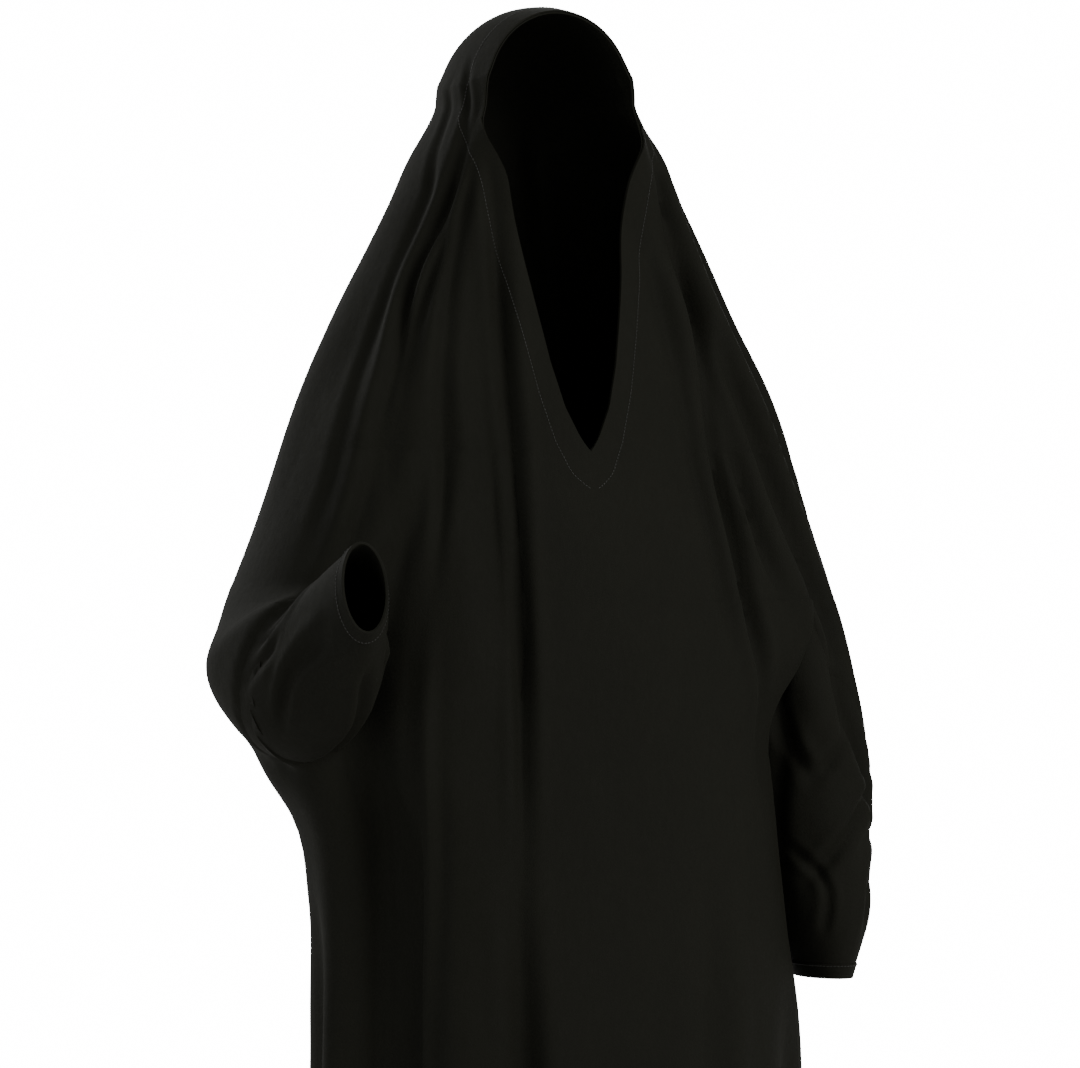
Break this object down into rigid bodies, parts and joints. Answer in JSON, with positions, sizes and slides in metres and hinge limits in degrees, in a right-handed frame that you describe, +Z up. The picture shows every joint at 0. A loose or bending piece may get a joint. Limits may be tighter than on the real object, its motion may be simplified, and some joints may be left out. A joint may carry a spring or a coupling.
{
  "type": "overhead abaya",
  "caption": "Full-length black cloak worn from the crown of the head, with a V face opening and tapered sleeves, shaped as worn with the right arm bent.",
  "frame": {"origin": "inner crown of the hood, where the garment sits on a head", "axes": "+Z up, the face opening faces -Y, and the wearer's left sleeve is at +X"},
  "size_m": [0.7162, 0.3887, 1.672],
  "materials": {
    "crepe": "soft matte black crepe with a faint sheen",
    "facing": "soft matte black crepe, topstitched"
  },
  "bodies": {
    "root": {"cloak": "crepe", "face_facing": "facing", "sleeve_left": "crepe", "sleeve_right": "crepe", "cuff_left": "crepe", "cuff_right": "crepe"}
  },
  "joints": []
}
